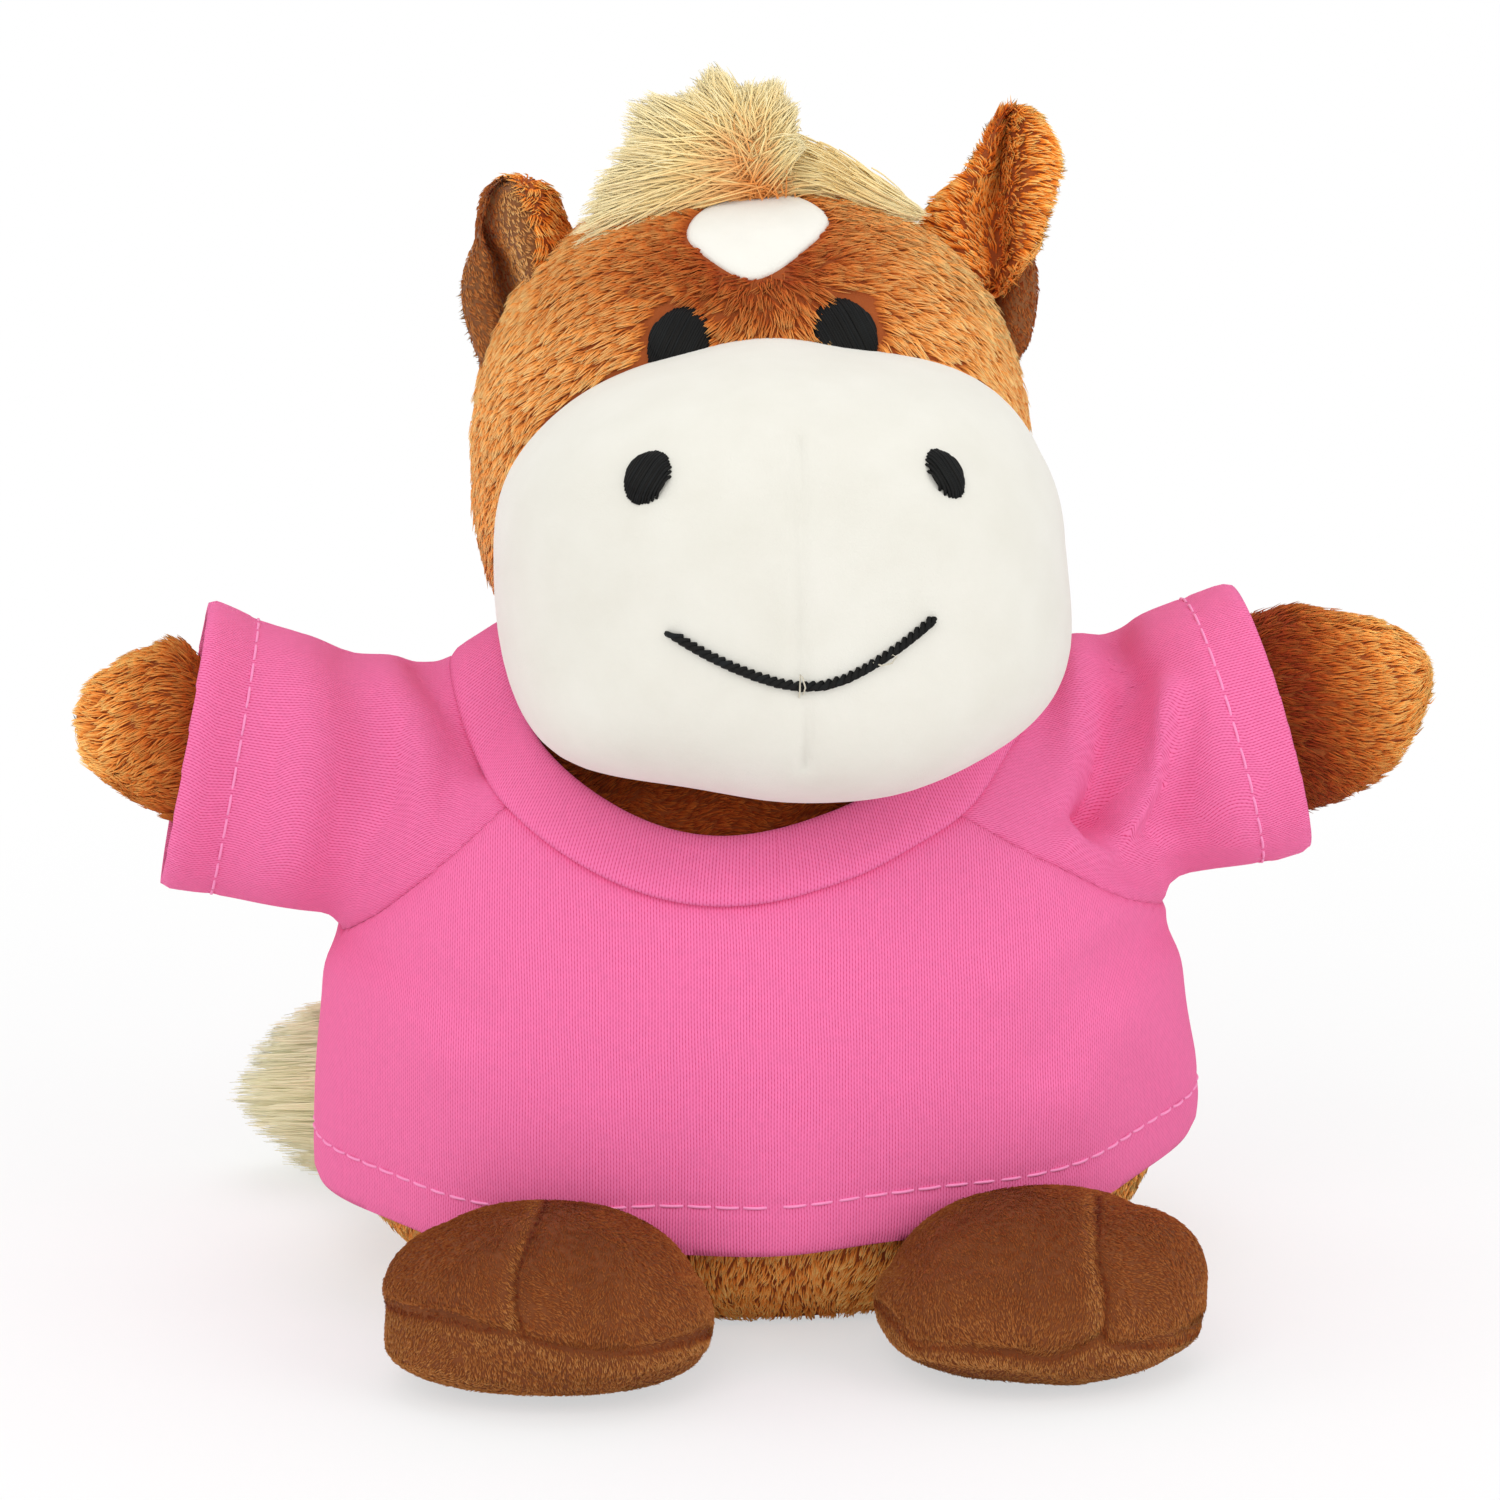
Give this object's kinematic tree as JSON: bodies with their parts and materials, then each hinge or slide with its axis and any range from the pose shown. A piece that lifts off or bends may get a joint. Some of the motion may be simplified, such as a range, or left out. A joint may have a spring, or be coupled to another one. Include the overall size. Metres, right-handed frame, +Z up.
{
  "type": "plush pony",
  "caption": "Small beanbag plush pony in a knitted T-shirt, with a turning head, swinging arms, flexing feet, folding ears and a tail.",
  "frame": {"origin": "on the floor plane, under the middle of the body's flat base", "axes": "+Z up, the pony looks along -Y, and its own left is +X"},
  "size_m": [0.1811, 0.1256, 0.161],
  "materials": {
    "brown_pile": "short brushed plush pile",
    "white_pile": "very short velour",
    "cream_pile": "long soft pile",
    "dark_suede": "short napped velour",
    "pink_jersey": "matt cotton jersey knit",
    "black_thread": "satin stitched rayon thread",
    "polyester_fill": "loose polyester fibre",
    "bag_cotton": "plain woven cotton",
    "plastic_pellets": "small moulded beads"
  },
  "bodies": {
    "torso": {"body_front": "brown_pile", "body_back": "brown_pile", "body_base": "brown_pile", "pellet_bag": "bag_cotton", "pellets": "plastic_pellets", "body_stuffing": "polyester_fill", "shirt_front": "pink_jersey", "shirt_back": "pink_jersey", "shirt_sleeve_left": "pink_jersey", "shirt_sleeve_right": "pink_jersey", "shirt_neckband": "pink_jersey"},
    "neck": {"neck_stuffing": "polyester_fill"},
    "head": {"head_front": "brown_pile", "head_back": "brown_pile", "muzzle": "white_pile", "head_stuffing": "polyester_fill", "forehead_blaze": "white_pile", "eye_left": "black_thread", "eye_right": "black_thread", "nostril_left": "black_thread", "nostril_right": "black_thread", "mouth": "black_thread", "mane": "cream_pile"},
    "ear_left": {"ear_left_shell": "brown_pile", "ear_left_lining": "dark_suede"},
    "ear_right": {"ear_right_shell": "brown_pile", "ear_right_lining": "dark_suede"},
    "arm_left": {"arm_left_skin": "brown_pile", "arm_left_stuffing": "polyester_fill"},
    "arm_right": {"arm_right_skin": "brown_pile", "arm_right_stuffing": "polyester_fill"},
    "foot_left": {"foot_left_upper": "dark_suede", "foot_left_sole": "dark_suede", "foot_left_stuffing": "polyester_fill"},
    "foot_right": {"foot_right_upper": "dark_suede", "foot_right_sole": "dark_suede", "foot_right_stuffing": "polyester_fill"},
    "tail": {"tail": "cream_pile"}
  },
  "joints": [
    {"name": "head_nod", "type": "hinge", "parent": "torso", "child": "neck", "pos_m": [0, 0, 0.074], "axis": [1, 0, 0], "range_deg": [-12, 0], "stiffness_Nm_per_rad": 0.2, "deforming": ["shirt_neckband"]},
    {"name": "head_turn", "type": "hinge", "parent": "neck", "child": "head", "pos_m": [0, 0, 0.074], "axis": [0, 0, 1], "range_deg": [-10, 10], "stiffness_Nm_per_rad": 0.1},
    {"name": "arm_left_swing", "type": "hinge", "parent": "torso", "child": "arm_left", "pos_m": [0.04197, -0.005, 0.06646], "axis": [0, -1, 0], "range_deg": [-20, 12], "stiffness_Nm_per_rad": 0.03, "deforming": ["shirt_sleeve_left"]},
    {"name": "arm_right_swing", "type": "hinge", "parent": "torso", "child": "arm_right", "pos_m": [-0.04197, -0.005, 0.06646], "axis": [0, 1, 0], "range_deg": [-20, 12], "stiffness_Nm_per_rad": 0.03, "deforming": ["shirt_sleeve_right"]},
    {"name": "foot_left_flex", "type": "hinge", "parent": "torso", "child": "foot_left", "pos_m": [0.03, -0.0395, 0.013], "axis": [-0.9848, -0.1736, 0], "range_deg": [0, 25], "stiffness_Nm_per_rad": 0.03},
    {"name": "foot_right_flex", "type": "hinge", "parent": "torso", "child": "foot_right", "pos_m": [-0.028, -0.04041, 0.013], "axis": [-0.9848, 0.1736, 0], "range_deg": [0, 25], "stiffness_Nm_per_rad": 0.03},
    {"name": "ear_left_fold", "type": "hinge", "parent": "head", "child": "ear_left", "pos_m": [0.02599, 0, 0.13345], "axis": [-0.5676, 0.766, 0.3018], "range_deg": [-20, 20], "stiffness_Nm_per_rad": 0.005},
    {"name": "ear_right_fold", "type": "hinge", "parent": "head", "child": "ear_right", "pos_m": [-0.02755, 0, 0.12501], "axis": [0.7433, -0.6428, 0.1853], "range_deg": [-20, 20], "stiffness_Nm_per_rad": 0.005},
    {"name": "tail_swing", "type": "hinge", "parent": "torso", "child": "tail", "pos_m": [-0.005, 0.04248, 0.012], "axis": [0, 0, -1], "range_deg": [0, 50]}
  ]
}
